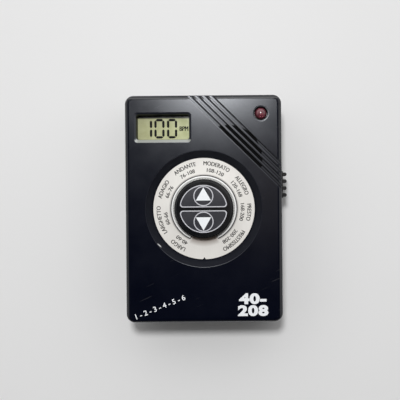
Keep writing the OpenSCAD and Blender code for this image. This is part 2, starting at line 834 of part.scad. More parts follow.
// Two electrolytic capacitors lying under the board
module capacitors() color("#20304f") for (y = [0, capacitor_pitch])
    translate([capacitor_x, capacitor_y + y, 0]) {
        translate([0, 0, capacitor_z]) rotate([0, 90, 0]) cylinder(r = capacitor_r, h = capacitor_l);
        for (s = [-1, 1]) leg(capacitor_l - 0.2, capacitor_l + 2, s * 1.2, capacitor_z);
    }

// Six small resistors side by side under the board
module resistors() color("#c9b083") for (i = [0:5])
    translate([resistor_x, resistor_y + i * resistor_pitch, 0]) {
        translate([-resistor_l / 2, 0, resistor_z]) rotate([0, 90, 0])
            cylinder(r = resistor_r, h = resistor_l);
        for (m = [0, 1]) mirror([m, 0, 0]) leg(resistor_l / 2 - 0.2, resistor_l, 0, resistor_z);
    }

// A round body with one flat side, on three legs
module regulator() color("#1d1d1f") translate([regulator_x, regulator_y, 0]) {
    intersection() {
        slab(board_z - 6.4, board_z - 2) circle(r = regulator_r);
        block([-regulator_r, -0.7 * regulator_r, 0], [regulator_r, regulator_r, case_d]);
    }
    for (x = [-1.27, 0, 1.27])
        block([x - leg_t / 2, -leg_t / 2, board_z - 2.2], [x + leg_t / 2, leg_t / 2, board_z]);
}

// ---------- speaker ----------

module speaker_frame() color("#9a9c9f") translate([speaker_x, speaker_y, 0]) difference() {
    union() {
        slab(rim_top - rim_t, rim_top) circle(r = speaker_r);
        translate([0, 0, basket_z])
            cylinder(r1 = magnet_r + 1, r2 = basket_r, h = rim_top - rim_t - basket_z + e);
        translate([magnet_r + 0.3, -3, basket_z]) cube([2.4, 6, 1]);
    }
    translate([0, 0, basket_z + 0.8])
        cylinder(r1 = magnet_r + 0.2, r2 = ledge_r, h = rim_top - rim_t - basket_z - 0.8 + e);
    slab(rim_top - rim_t, rim_top + over) circle(r = cone_r + 0.1);
    slab(basket_z - over, basket_z + over) circle(r = frame_hole_r);
}

// The cone, glued on the frame's ledge, with its dome and coil
module speaker_cone() color("#26241f") translate([speaker_x, speaker_y, rim_top - rim_t]) {
    rotate_extrude() polygon([
        [0, -0.7], [coil_r, -2.1], [ledge_r - 0.2, 0], [cone_r, 0],
        [cone_r, 0.35], [ledge_r - 0.4, 0.35], [coil_r + 0.2, -1.7], [0, -0.3]
    ]);
    difference() {
        translate([0, 0, -3]) cylinder(r = coil_r, h = 1.2);
        translate([0, 0, -4]) cylinder(r = coil_r - 0.5, h = 3);
    }
}

module speaker_magnet() color("#77797c") translate([speaker_x, speaker_y, 0]) {
    slab(basket_z - magnet_t, basket_z) circle(r = magnet_r);
    slab(basket_z - e, basket_z + 0.5) circle(r = pole_r);
}

module speaker_gasket() color("#2b2b2b") translate([speaker_x, speaker_y, 0])
    slab(rim_top, cup_bottom) difference() {
        circle(r = speaker_r);
        circle(r = basket_r);
    }

// Black dust cloth behind the louvres, cut round the dial
module grille_cloth() color("#0c0c0d") slab(case_d - grille_t - cloth_t, case_d - grille_t) difference() {
    translate([speaker_x, speaker_y]) circle(r = grille_r - 0.1);
    circle(r = cup_r - 0.3);
}

module speaker_leads() color("#8c2020") for (s = [-1, 1])
    wire([
        [speaker_x + magnet_r + 2, speaker_y + s * 1.6, basket_z - 0.05],
        [speaker_x + magnet_r + 2.4, speaker_y + s * 1.7, basket_z - 1.8],
        [speaker_x + magnet_r + 5, speaker_y + s * 1.5 + 1, board_z - 2.4],
        [speaker_x + magnet_r + 7.6, speaker_y + s * 1.2 + 1.6, board_z - 1.8],
        [speaker_x + magnet_r + 7.7, speaker_y + s * 1.2 + 1.6, board_z - 0.1]
    ], thin_wire_r, rings = 16);

// ---------- earphone jack ----------

module earphone_jack() color("#1c1c1e") difference() {
    union() {
        block([jack_x, jack_y - jack_w / 2, jack_z - jack_h / 2],
            [jack_x + jack_l, jack_y + jack_w / 2, jack_z + jack_h / 2]);
        translate([jack_front, jack_y, jack_z]) rotate([0, 90, 0])
            cylinder(r = jack_nose_r, h = wall + slack);
    }
    translate([jack_front - over, jack_y, jack_z]) rotate([0, 90, 0])
        cylinder(r = jack_bore_r, h = jack_bore_l + over);
}

module jack_tabs() color("#cdbb7a") for (x = [3, 6.5, 10])
    block([jack_x + x, jack_y - jack_w / 2 - 0.4, jack_z - 1],
        [jack_x + x + 0.8, jack_y - jack_w / 2, board_z]);

// ---------- battery and its leads ----------

module battery() color("#3a3d42") translate([battery_x0, battery_y, battery_z]) rotate([90, 0, 90])
    linear_extrude(battery_l) rounded(battery_w, battery_h, battery_corner_r);

// Things on one of the battery's two terminals, standing out of its end
module on_terminal(s)
    translate([battery_x1, battery_y + s * terminal_pitch / 2, battery_z]) rotate([0, 90, 0]) children();

module battery_terminals() color("silver") {
    on_terminal(-1) cylinder(r = stud_r, h = terminal_h);
    on_terminal(1) difference() {
        cylinder(r = crown_r, h = terminal_h);
        translate([0, 0, -e]) cylinder(r = crown_r - 1.1, h = terminal_h + over);
    }
}

module battery_snap() color("#151515") translate([snap_x, battery_y, battery_z]) rotate([90, 0, 90])
    linear_extrude(snap_t) rounded(battery_w - 1.5, 12.6, 3);

module snap_contacts() color("#c9c9c9") {
    on_terminal(-1) difference() {
        translate([0, 0, 0.2]) cylinder(r = crown_r - 0.4, h = terminal_h);
        cylinder(r = stud_r + 0.2, h = terminal_h + over);
    }
    on_terminal(1) translate([0, 0, 0.2]) cylinder(r = stud_r - 0.05, h = terminal_h);
}

// A lead from the snap's end, past the compartment's rib, up to the board; k is its lane
module battery_lead(k)
    wire([
        [snap_end + 0.15, battery_y + 5 - 5 * k, battery_z - 1 + 2 * k],
        [snap_end + 1.5, battery_y + 5 - 5 * k, battery_z - 1 + 2 * k],
        [snap_end + 2.6 - k, battery_y + 7 - 5 * k, battery_z - 1 + 2 * k],
        [snap_end + 3.2 - 1.6 * k, battery_y + 9.5 - k, battery_z - 1 + 2 * k],
        [snap_end + 2.8 - 1.4 * k, bay_top - 0.6, battery_z - 0.4 + 2 * k],
        [snap_end + 0.8 - 2 * k, board_y0 + 0.4, board_z - 2.6],
        [snap_end - 0.2 - 2 * k, board_y0 + 1.5, board_z - 1.3],
        [snap_end - 0.2 - 2 * k, board_y0 + 1.5, board_z - 0.1]
    ], wire_r, rings = 30);

module lead_red() color("#b3191c") battery_lead(0);

module lead_black() color("#202020") battery_lead(1);

// Foam that keeps the battery from rattling, stuck inside the face
module battery_pad() color("#4b4b4b") slab(battery_z0 + battery_h + 0.1, face_in)
    translate([battery_x0 + battery_l / 2, battery_y0 + 10]) square([pad_l, pad_w], center = true);

front_shell();
rear_shell();
battery_door();
case_screws();
dial_plate();
dial_collar();
keypad_hub();
key_up();
key_down();
plunger_up();
plunger_down();
tact_switches();
switch_knob();
switch_slider();
switch_body();
lcd_glass();
lcd_reflector();
lcd_frame();
zebra_strips();
led_lens();
led_leads();
main_board();
board_screws();
controller_chip();
quartz_crystal();
capacitors();
resistors();
regulator();
speaker_frame();
speaker_cone();
speaker_magnet();
speaker_gasket();
grille_cloth();
speaker_leads();
earphone_jack();
jack_tabs();
battery();
battery_terminals();
battery_snap();
snap_contacts();
lead_red();
lead_black();
battery_pad();
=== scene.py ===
"""Looks of a pocket quartz metronome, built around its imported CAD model.

Lengths are in millimetres and become metres where a mesh, a lamp or the camera is made.
Finishes are worked out in the model's own frame, so each grain has its real size.
"""

import math

import bmesh
import bpy
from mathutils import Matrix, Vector
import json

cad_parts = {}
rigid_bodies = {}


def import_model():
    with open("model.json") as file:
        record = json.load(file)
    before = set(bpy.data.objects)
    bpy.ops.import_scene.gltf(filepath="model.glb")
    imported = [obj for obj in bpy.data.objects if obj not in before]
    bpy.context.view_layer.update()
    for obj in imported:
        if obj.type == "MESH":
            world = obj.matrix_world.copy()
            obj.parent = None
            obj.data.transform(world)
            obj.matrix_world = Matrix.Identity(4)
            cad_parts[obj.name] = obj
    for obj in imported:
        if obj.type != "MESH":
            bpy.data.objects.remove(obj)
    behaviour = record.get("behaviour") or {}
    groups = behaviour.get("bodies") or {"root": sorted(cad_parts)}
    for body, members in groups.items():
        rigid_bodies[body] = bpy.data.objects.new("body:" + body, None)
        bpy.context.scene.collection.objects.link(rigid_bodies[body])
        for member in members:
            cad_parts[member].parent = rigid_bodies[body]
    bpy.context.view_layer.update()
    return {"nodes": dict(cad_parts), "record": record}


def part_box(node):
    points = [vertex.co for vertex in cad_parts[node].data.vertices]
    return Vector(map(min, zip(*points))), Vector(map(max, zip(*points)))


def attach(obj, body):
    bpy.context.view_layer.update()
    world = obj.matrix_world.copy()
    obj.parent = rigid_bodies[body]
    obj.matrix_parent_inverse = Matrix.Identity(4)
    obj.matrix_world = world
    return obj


for leftover in list(bpy.data.objects):
    bpy.data.objects.remove(leftover)
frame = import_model()
nodes = frame["nodes"]
MM = 0.001

# Printed marks: how far they stand above what they are printed on
PRINT_T = 0.02
# Points of a piece closer than this are one
WELD = 0.0001
# Outline on each key: its radius, how far its flat side lies from the dial's middle, and its
# corners; then the width of every line, the radius of the ring, the depth of the marks, how far
# below the key's top they end, and how much lower the ring does
KEY_R = 10.6
KEY_FLAT = 0.7
KEY_CORNER_R = 1.3
LINE_W = 0.42
RING_R = 4.4
MARK_DEPTH = 0.1
MARK_LOW = 0.005
RING_LOW = 0.003
# How much rougher the case is in its hollows than on its face, the share of that on the narrow
# bevels of the face, and the width of the case's edge, which stays glossy
HOLLOW_ROUGH = 0.28
BEVEL_SHARE = 0.5
GLOSSY_EDGE_W = 2.1
# The band of louvres, as the middle of the sum of X and Y and the reach each way; the depth of
# the shelf in each, and how deep the dull part of the slot below it reaches
LOUVRES_MID = 49.0
LOUVRES_REACH = 6.6
LOUVRE_SHELF = 0.9
LOUVRE_DEPTH = 1.9
# Width of the painted highlight on the bevel at the foot of the window, and how far the glass
# runs past the window at its sides and its foot
WINDOW_FOOT_HIGHLIGHT_W = 1.3
GLASS_PAST = (0.4, 1.0)
# Painted shadow of the window's top wall along the top of the display: how far below its edge it starts
# and is full
WINDOW_SHADOW = (3.75, 3.1)
# Painted highlight along the far edge, fainter along the sides: how far in the middle is, and the
# half width; the share of the sides, how softly each line ends, and how far down it starts and is full
EDGE_HIGHLIGHT_END = (1.3, 0.55)
EDGE_HIGHLIGHT_SIDE = (0.95, 0.45)
EDGE_HIGHLIGHT_SIDE_SHARE = 0.55
EDGE_HIGHLIGHT_SOFT = 0.3
EDGE_HIGHLIGHT_DOWN = (0.9, 0.5)
# Middle of the painted highlight on a small notch in the rim of the recess
NOTCH_HIGHLIGHT = (-19.9, -16.2, 25.4)
# Ticks round the collar's step, the width of the crown outside it, and the slope of the sides
# of the collar's opening
COLLAR_TICKS = 120
CROWN_W = 0.8
OPENING_SLOPE = 0.477
# Painted shade round the collar: how far out it starts and is full; and the painted shadow of
# the hub in the collar's opening: how far from the hub it starts and is full
COLLAR_SHADE = (1.3, 0.35)
HUB_SHADOW = (4.0, 0.6)
# Floor: its width, and how far it lies below what stands on it, so that no faces coincide
FLOOR_W = 6000
FLOOR_DROP = 0.02
# Brightness of the backdrop past the edge of the floor
BACKDROP = 0.6
# Tempo scale: each word, its range, and its place clockwise from the top in degrees
TEMPI = [
    ("LARGO", "40-60", 215.5), ("LARGHETTO", "60-66", 255.5), ("ADAGIO", "66-76", 296),
    ("ANDANTE", "76-108", 335), ("MODERATO", "108-120", 17), ("ALLEGRO", "120-168", 59),
    ("PRESTO", "168-200", 95), ("PRESTISSIMO", "200-208", 137.5),
]
# Distance from the dial's middle, and height, of the words and of the ranges
WORD_R = 20.4
WORD_H = 1.85
RANGE_R = 17.4
RANGE_H = 1.7
# Digits on the display: height, width, thickness of a segment, and the gap at each end of it
DIGIT_H = 8.8
DIGIT_W = 4.6
DIGIT_T = 1.05
DIGIT_GAP = 0.12


# ---------- places worked out from the frame ----------

def corners(node):
    """The low and the high corner of a node's box, in millimetres."""
    low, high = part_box(node)
    return low / MM, high / MM


def middle(node):
    """The middle of a node's box, in millimetres."""
    low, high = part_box(node)
    return (low + high) / 2 / MM


def top(node):
    """How high a node reaches, in millimetres."""
    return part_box(node)[1].z / MM


# ---------- node graphs ----------

class Graph:
    """The nodes of a finish or of the world. Except for node(), each method returns an output."""

    def __init__(self, tree, place):
        self.tree = tree
        self.place = self.node("ShaderNodeTexCoord").outputs[place]

    def node(self, kind, inputs=None, **settings):
        """A node, returned whole; each input is a value or a socket to link."""
        made = self.tree.nodes.new(kind)
        for key, value in settings.items():
            setattr(made, key, value)
        for key, value in (inputs or {}).items():
            if isinstance(value, bpy.types.NodeSocket):
                self.tree.links.new(value, made.inputs[key])
            else:
                made.inputs[key].default_value = value
        return made

    def stretched(self, x=1, y=1, z=1, turn=0, centre=(0, 0, 0)):
        """Coordinates in millimetres about a centre, turned about Z, with each axis scaled."""
        moved = self.node("ShaderNodeVectorMath", {0: self.place, 1: Vector(centre) * MM},
                          operation="SUBTRACT").outputs[0]
        turned = self.node("ShaderNodeVectorRotate", {"Vector": moved, "Angle": math.radians(turn)},
                           rotation_type="Z_AXIS").outputs[0]
        return self.node("ShaderNodeVectorMath", {0: turned, 1: (x / MM, y / MM, z / MM)},
                         operation="MULTIPLY").outputs[0]

    def noise(self, size, detail=2, roughness=0.5, place=None):
        """Noise whose lumps are about size millimetres wide."""
        return self.node("ShaderNodeTexNoise", {
            "Vector": place or self.stretched(), "Scale": 1 / size, "Detail": detail,
            "Roughness": roughness}).outputs["Fac"]

    def cells(self, size):
        """Distance from the middles of cells about size millimetres wide."""
        return self.node("ShaderNodeTexVoronoi", {
            "Vector": self.stretched(), "Scale": 1 / size}).outputs["Distance"]

    def part(self, axis, place=None):
        """One coordinate of a place."""
        return self.node("ShaderNodeSeparateXYZ", {0: place or self.stretched()}).outputs[axis]

    def radius(self, x=1, y=1, z=0, turn=0, centre=(0, 0, 0)):
        """Distance from a centre, or with z = 0 from the upright line through it."""
        place = self.stretched(x, y, z, turn, centre)
        return self.node("ShaderNodeVectorMath", {0: place}, operation="LENGTH").outputs["Value"]

    def maths(self, operation, a, b=0.0, c=0.0, clamp=False):
        """One operation on up to three numbers."""
        inputs = {0: a, 1: b, 2: c}
        return self.node("ShaderNodeMath", inputs, operation=operation, use_clamp=clamp).outputs[0]

    def away(self, value, centre):
        """How far value is from a centre, either way."""
        return self.maths("ABSOLUTE", self.maths("SUBTRACT", value, centre))

    def overlap(self, *masks):
        """Where all the masks meet."""
        shared = masks[0]
        for mask in masks[1:]:
            shared = self.maths("MULTIPLY", shared, mask)
        return shared

    def between(self, value, start, end, low=0.0, high=1.0):
        """value from start to end, turned into low to high and kept in that range."""
        inputs = {"Value": value, "From Min": start, "From Max": end, "To Min": low, "To Max": high}
        return self.node("ShaderNodeMapRange", inputs).outputs[0]

    def spread(self, noise, low=0.0, high=1.0):
        """Noise, most of which lies from 0.3 to 0.7, turned into low to high."""
        return self.between(noise, 0.3, 0.7, low, high)

    def blend(self, share, a, b):
        """Two colours mixed by a share; each is a socket or three numbers."""
        a, b = (c if isinstance(c, bpy.types.NodeSocket) else (*c, 1) for c in (a, b))
        return self.node("ShaderNodeMix", {0: share, 6: a, 7: b}, data_type="RGBA").outputs[2]


class Finish(Graph):
    """One material; sockets are further inputs of its shader, with _ for each space."""

    def __init__(self, name, colour, roughness, metallic=0.0, **sockets):
        self.material = bpy.data.materials.new(name)
        self.material.use_nodes = True
        super().__init__(self.material.node_tree, "Object")
        self.shader = self.tree.nodes["Principled BSDF"]
        self.shader.inputs["Base Color"].default_value = (*colour, 1)
        self.shader.inputs["Roughness"].default_value = roughness
        self.shader.inputs["Metallic"].default_value = metallic
        for socket, value in sockets.items():
            self.shader.inputs[socket.replace("_", " ")].default_value = value

    def colour(self, value):
        """Wear a worked-out colour."""
        self.tree.links.new(value, self.shader.inputs["Base Color"])

    def rough(self, value):
        """Wear a worked-out roughness."""
        self.tree.links.new(value, self.shader.inputs["Roughness"])

    def bump(self, height, depth):
        """Surface relief of depth millimetres."""
        normal = self.node("ShaderNodeBump", {"Height": height, "Distance": depth * MM}).outputs[0]
        self.tree.links.new(normal, self.shader.inputs["Normal"])
        return self


def plastic(name, dark, light, roughness, grain=0.25, depth=0.01, ior=1.5):
    """Moulded plastic: a fine spark texture, and soft patches where it has been handled."""
    f = Finish(name, dark, roughness, IOR=ior)
    patches = f.noise(9, detail=4, roughness=0.6)
    f.colour(f.blend(f.between(patches, 0.35, 0.7), dark, light))
    fine = f.noise(grain, detail=3, roughness=0.7)
    worn = f.maths("MULTIPLY_ADD", f.spread(patches), 0.07, roughness - 0.035)
    f.rough(f.maths("MULTIPLY_ADD", f.spread(fine), 0.05, worn))
    return f.bump(fine, depth)


def metal(name, dark, light, roughness, grain=0.12):
    """Metal with a fine, even grain."""
    f = Finish(name, dark, roughness, metallic=1.0)
    grains = f.noise(grain, detail=3)
    f.colour(f.blend(f.spread(grains), dark, light))
    f.rough(f.between(grains, 0.25, 0.75, roughness - 0.06, roughness + 0.08))
    return f.bump(grains, 0.004)


# ---------- where the case is marked, rubbed or dull ----------

def dust_and_hairs(f):
    """Mask of specks of dust and of hair scratches, each in patches."""
    dust = f.overlap(f.between(f.cells(1.7), 0.035, 0.0), f.between(f.noise(6), 0.5, 0.62))
    hairs = f.noise(0.5, detail=1, place=f.stretched(0.05, 1, 1, turn=-24))
    scratches = f.overlap(f.between(hairs, 0.71, 0.75), f.between(f.noise(11), 0.52, 0.6))
    return f.maths("MULTIPLY_ADD", dust, 0.7, f.maths("MULTIPLY", scratches, 0.3), clamp=True)


def painted_edge_highlight(f, corner):
    """Mask of the painted highlight along the far edge and, more faintly, the sides of the face."""
    off_end = f.away(f.part("Y"), corner.y - EDGE_HIGHLIGHT_END[0])
    end = f.between(off_end, EDGE_HIGHLIGHT_END[1], EDGE_HIGHLIGHT_END[1] - EDGE_HIGHLIGHT_SOFT)
    off_side = f.away(f.maths("ABSOLUTE", f.part("X")), corner.x - EDGE_HIGHLIGHT_SIDE[0])
    side = f.between(off_side, EDGE_HIGHLIGHT_SIDE[1], EDGE_HIGHLIGHT_SIDE[1] - EDGE_HIGHLIGHT_SOFT, 0.0, EDGE_HIGHLIGHT_SIDE_SHARE)
    near_face = f.between(f.part("Z"), corner.z - EDGE_HIGHLIGHT_DOWN[0], corner.z - EDGE_HIGHLIGHT_DOWN[1])
    return f.overlap(f.maths("MAXIMUM", end, side), near_face)


def window_foot_highlight(f, face_z):
    """Mask of the painted highlight on the bevel at the foot of the display's window."""
    low, high = corners("lcd_glass")
    half_w = (high.x - low.x) / 2 - GLASS_PAST[0]
    foot_y = low.y + GLASS_PAST[1]
    return f.overlap(
        f.between(f.part("Y"), foot_y + WINDOW_FOOT_HIGHLIGHT_W + 0.2, foot_y + WINDOW_FOOT_HIGHLIGHT_W),
        f.between(f.part("Y"), foot_y - 0.1, foot_y),
        f.between(f.away(f.part("X"), middle("lcd_glass").x), half_w, half_w - 0.4),
        f.between(f.part("Z"), face_z - 0.005, face_z - 0.03))


def hollows(f, corner):
    """How dull the case is: wholly in its hollows, partly on the bevels of the face, and in the
    louvres only on their bevels and in the slots below their shelves.
    """
    depth = f.maths("SUBTRACT", corner.z, f.part("Z"))
    bevel = f.between(depth, 0.002, 0.008, 0.0, BEVEL_SHARE)
    hollow = f.maths("MAXIMUM", bevel, f.between(depth, 0.25, 0.35))
    slot = f.overlap(f.between(depth, LOUVRE_SHELF + 0.1, LOUVRE_SHELF + 0.2),
                     f.between(depth, LOUVRE_DEPTH, LOUVRE_DEPTH - 0.1))
    louvre = f.maths("MAXIMUM", f.overlap(bevel, f.between(depth, 0.3, 0.1)), slot)
    off_louvres = f.away(f.maths("ADD", f.part("X"), f.part("Y")), LOUVRES_MID)
    at_louvres = f.between(off_louvres, LOUVRES_REACH, LOUVRES_REACH - 0.1)
    off_edges = [f.between(f.maths("ABSOLUTE", f.part(axis)), edge, edge - 0.1)
                 for axis, edge in (("X", corner.x - GLOSSY_EDGE_W), ("Y", corner.y - GLOSSY_EDGE_W))]
    elsewhere = f.overlap(*off_edges, hollow, f.maths("SUBTRACT", 1.0, at_louvres))
    return f.maths("MULTIPLY_ADD", at_louvres, louvre, elsewhere)


# ---------- one function for each finish ----------

def case_black():
    """Glossy black face with faint smudges, dust, hair scratches and painted highlights; duller in its
    hollows.
    """
    f = Finish("case_black", (0.0008, 0.0016, 0.006), 0.2, Specular_IOR_Level=0.34,
               Specular_Tint=(0.92, 0.95, 1.0, 1))
    corner = corners("front_shell")[1]
    smudges = f.noise(14, detail=5, roughness=0.65)
    fine = f.noise(0.22, detail=3, roughness=0.75)
    notch_highlight = f.between(f.radius(0.8, 4, turn=45, centre=NOTCH_HIGHLIGHT), 1.1, 0.7)
    body = f.blend(f.between(smudges, 0.35, 0.72), (0.0004, 0.0011, 0.0055), (0.0012, 0.002, 0.007))
    dusty = f.blend(dust_and_hairs(f), body, (0.08, 0.08, 0.08))
    # Painted highlight along the far edge and the sides of the face
    edge_highlighted = f.blend(painted_edge_highlight(f, corner), dusty, (0.06, 0.06, 0.06))
    # Painted highlight on a small notch in the rim of the recess
    notch_lit = f.blend(notch_highlight, edge_highlighted, (0.5, 0.5, 0.5))
    # Painted highlight on the bevel at the foot of the window
    f.colour(f.blend(window_foot_highlight(f, corner.z), notch_lit, (0.22, 0.23, 0.195)))
    handled = f.between(smudges, 0.3, 0.75, 0.175, 0.215)
    skin = f.maths("MULTIPLY_ADD", f.spread(fine), 0.02, handled)
    f.rough(f.maths("MULTIPLY_ADD", hollows(f, corner), HOLLOW_ROUGH, skin))
    return f.bump(fine, 0.0018)


def case_back():
    return plastic("case_back", (0.012, 0.0122, 0.013), (0.018, 0.018, 0.0185), 0.46,
                   grain=0.35, depth=0.02)


def scale_plate():
    """Silvered scale, brushed top to bottom, with painted shade round the collar and a painted brown
    shadow of the hub in the collar's opening.
    """
    f = Finish("scale_plate", (0.72, 0.70, 0.665), 0.46, metallic=0.08)
    brush = f.noise(0.16, detail=3, place=f.stretched(1, 0.03, 1))
    base = f.blend(f.spread(f.noise(12)), (0.70, 0.68, 0.645), (0.77, 0.75, 0.715))
    brushed = f.blend(f.between(brush, 0.25, 0.75, 0.0, 0.35), base, (0.62, 0.60, 0.565))
    radius = f.radius()
    collar_r = corners("dial_collar")[1].x
    hub_r = corners("keypad_hub")[1].x
    off_opening = f.maths("MULTIPLY_ADD", f.part("Y"), OPENING_SLOPE, f.maths("ABSOLUTE", f.part("X")))
    # Painted shade round the collar
    collar_shade = f.overlap(f.between(radius, collar_r + COLLAR_SHADE[0], collar_r + COLLAR_SHADE[1]),
                      f.between(off_opening, -0.2, 0.2))
    # Painted shadow of the hub in the collar's opening
    hub_shadow = f.overlap(f.between(radius, hub_r + HUB_SHADOW[0], hub_r + HUB_SHADOW[1]),
                      f.between(off_opening, 0.1, -1.2))
    collar_shaded = f.blend(f.maths("POWER", collar_shade, 2.0), brushed, (0.16, 0.15, 0.14))
    f.colour(f.blend(hub_shadow, collar_shaded, (0.22, 0.17, 0.14)))
    f.rough(f.spread(brush, 0.4, 0.52))
    return f.bump(brush, 0.004)


def collar_silver():
    """Silvery white plastic, slightly cloudy, with grey ticks on the step beside the hub."""
    f = Finish("collar_silver", (0.93, 0.93, 0.92), 0.25)
    cloudy = f.noise(2.2, detail=3)
    f.rough(f.spread(cloudy, 0.2, 0.3))
    crown = f.blend(f.between(cloudy, 0.35, 0.7), (0.96, 0.96, 0.95), (1.0, 1.0, 0.99))
    turns = f.maths("ARCTAN2", f.part("Y"), f.part("X"))
    ticks = f.maths("SINE", f.maths("MULTIPLY", turns, COLLAR_TICKS))
    step = f.blend(f.between(ticks, -0.5, 0.5), (0.26, 0.26, 0.25), (0.68, 0.68, 0.66))
    crown_from = corners("dial_collar")[1].x - CROWN_W
    f.colour(f.blend(f.between(f.radius(), crown_from - 0.1, crown_from), step, crown))
    return f.bump(f.noise(0.5), 0.001)


def hub_black():
    return plastic("hub_black", (0.0012, 0.0016, 0.0028), (0.002, 0.0024, 0.0036), 0.14,
                   grain=0.2, depth=0.001)


def key_charcoal():
    return plastic("key_charcoal", (0.022, 0.0225, 0.03), (0.028, 0.0285, 0.036), 0.2,
                   grain=0.22, depth=0.002)


def knob_black():
    return plastic("knob_black", (0.003, 0.003, 0.0035), (0.006, 0.006, 0.0065), 0.3,
                   depth=0.006, ior=1.3)


def frame_grey():
    return plastic("frame_grey", (0.035, 0.035, 0.038), (0.05, 0.05, 0.053), 0.45)


def white_plastic():
    return plastic("white_plastic", (0.70, 0.68, 0.61), (0.76, 0.74, 0.68), 0.4,
                   grain=0.4, depth=0.006)


def component_black():
    return plastic("component_black", (0.012, 0.012, 0.012), (0.022, 0.022, 0.021), 0.5,
                   grain=0.12, depth=0.008)


def lcd_green():
    """Reflective display under a smooth polariser, slightly clouded, with the shadow of the window's
    top wall painted along its top.
    """
    f = Finish("lcd_green", (0.50, 0.52, 0.24), 0.12, Specular_IOR_Level=0.45)
    cloud = f.noise(3.5, detail=3, roughness=0.6)
    speck = f.noise(0.3)
    low, high = corners("lcd_glass")
    across = f.between(f.part("X"), low.x + 3, high.x - 3)
    left = f.blend(f.spread(cloud), (0.42, 0.425, 0.24), (0.49, 0.495, 0.29))
    right = f.blend(f.spread(cloud), (0.53, 0.56, 0.31), (0.62, 0.645, 0.38))
    lit = f.blend(f.spread(speck, 0.0, 0.18), f.blend(across, left, right), (0.38, 0.4, 0.19))
    # Painted shadow of the window's top wall along the top of the display
    window_shadow = f.between(f.part("Y"), high.y - WINDOW_SHADOW[0], high.y - WINDOW_SHADOW[1])
    f.colour(f.blend(window_shadow, lit, (0.006, 0.007, 0.005)))
    f.rough(f.spread(cloud, 0.1, 0.16))
    return f


def reflector():
    return metal("reflector", (0.42, 0.42, 0.34), (0.52, 0.52, 0.44), 0.45)


def strip_pink():
    """Conductive elastomer: thin dark layers across each strip."""
    f = Finish("strip_pink", (0.55, 0.2, 0.2), 0.6)
    layers = f.maths("PINGPONG", f.part("X"), 0.2)
    f.colour(f.blend(f.between(layers, 0.08, 0.12), (0.05, 0.04, 0.04), (0.56, 0.22, 0.22)))
    return f.bump(layers, 0.01)


def lamp_red():
    """Clear red epoxy with a few swirls."""
    f = Finish("lamp_red", (0.3, 0.05, 0.07), 0.16, IOR=1.52, Transmission_Weight=0.3,
               Coat_Weight=1.0, Coat_Roughness=0.26)
    swirl = f.noise(1.2, detail=3)
    f.colour(f.blend(f.spread(swirl), (0.12, 0.02, 0.032), (0.24, 0.055, 0.075)))
    return f.bump(f.noise(0.8), 0.03)


def tinned_metal():
    return metal("tinned_metal", (0.62, 0.62, 0.61), (0.74, 0.74, 0.73), 0.3)


def screw_steel():
    """Zinc plate with rings left by the turning tool."""
    f = Finish("screw_steel", (0.5, 0.5, 0.49), 0.32, metallic=1.0)
    tone = f.noise(0.7, detail=3)
    f.colour(f.blend(f.spread(tone), (0.44, 0.44, 0.42), (0.6, 0.6, 0.585)))
    f.rough(f.spread(tone, 0.26, 0.4))
    return f.bump(f.maths("PINGPONG", f.part("Z"), 0.2), 0.05)


def board_green():
    """Solder mask over copper tracks, with rows of tinned pads."""
    f = Finish("board_green", (0.02, 0.11, 0.04), 0.3)
    tracks = f.noise(1.6, detail=0, place=f.stretched(0.3, 1))
    track = f.between(f.maths("PINGPONG", tracks, 0.03), 0.012, 0.016)
    pads = f.between(f.cells(2.54), 0.17, 0.14)
    mask = f.blend(track, (0.012, 0.075, 0.026), (0.03, 0.17, 0.06))
    f.colour(f.blend(pads, mask, (0.6, 0.6, 0.58)))
    return f.bump(track, 0.03)


def capacitor_blue():
    """Shrink sleeve with a pale stripe low down and a bare end."""
    f = Finish("capacitor_blue", (0.02, 0.035, 0.1), 0.28)
    low = corners("capacitors")[0]
    stripe = f.between(f.part("Z"), low.z + 0.6, low.z + 0.5)
    bare = f.between(f.part("X"), low.x + 0.35, low.x + 0.3)
    skin = f.blend(stripe, (0.016, 0.03, 0.085), (0.5, 0.52, 0.55))
    f.colour(f.blend(bare, skin, (0.6, 0.6, 0.6)))
    return f.bump(f.noise(1.5), 0.02)


def resistor_tan():
    """Lacquered bodies with four colour bands across them."""
    f = Finish("resistor_tan", (0.6, 0.45, 0.25), 0.33)
    along = f.maths("SUBTRACT", f.part("X"), middle("resistors").x)
    base = f.blend(f.noise(0.8), (0.56, 0.41, 0.22), (0.64, 0.49, 0.28))
    bands = ((-1.2, (0.30, 0.02, 0.01)), (-0.6, (0.18, 0.02, 0.25)),
             (0.0, (0.45, 0.12, 0.0)), (1.2, (0.45, 0.33, 0.08)))
    for centre, tint in bands:
        base = f.blend(f.between(f.away(along, centre), 0.2, 0.16), base, tint)
    leads = f.between(f.maths("ABSOLUTE", along), 1.78, 1.82)
    f.colour(f.blend(leads, base, (0.6, 0.6, 0.59)))
    return f.bump(f.noise(0.5), 0.01)


def speaker_steel():
    return metal("speaker_steel", (0.34, 0.34, 0.35), (0.46, 0.46, 0.47), 0.38, grain=0.3)


def cone_paper():
    """Pressed paper: fibres and soft concentric ridges."""
    f = Finish("cone_paper", (0.028, 0.026, 0.022), 0.85)
    ridge = f.maths("PINGPONG", f.radius(centre=middle("speaker_cone")), 0.55)
    fibre = f.noise(0.3, detail=4, roughness=0.7)
    f.colour(f.blend(f.spread(fibre), (0.022, 0.02, 0.017), (0.045, 0.041, 0.035)))
    return f.bump(f.maths("MULTIPLY_ADD", ridge, 1.5, fibre), 0.06)


def foam_black():
    """Open foam with fine pores."""
    f = Finish("foam_black", (0.022, 0.022, 0.022), 0.9)
    pores = f.cells(0.45)
    f.colour(f.blend(f.between(pores, 0.1, 0.5), (0.008, 0.008, 0.008), (0.04, 0.04, 0.04)))
    return f.bump(pores, 0.12)


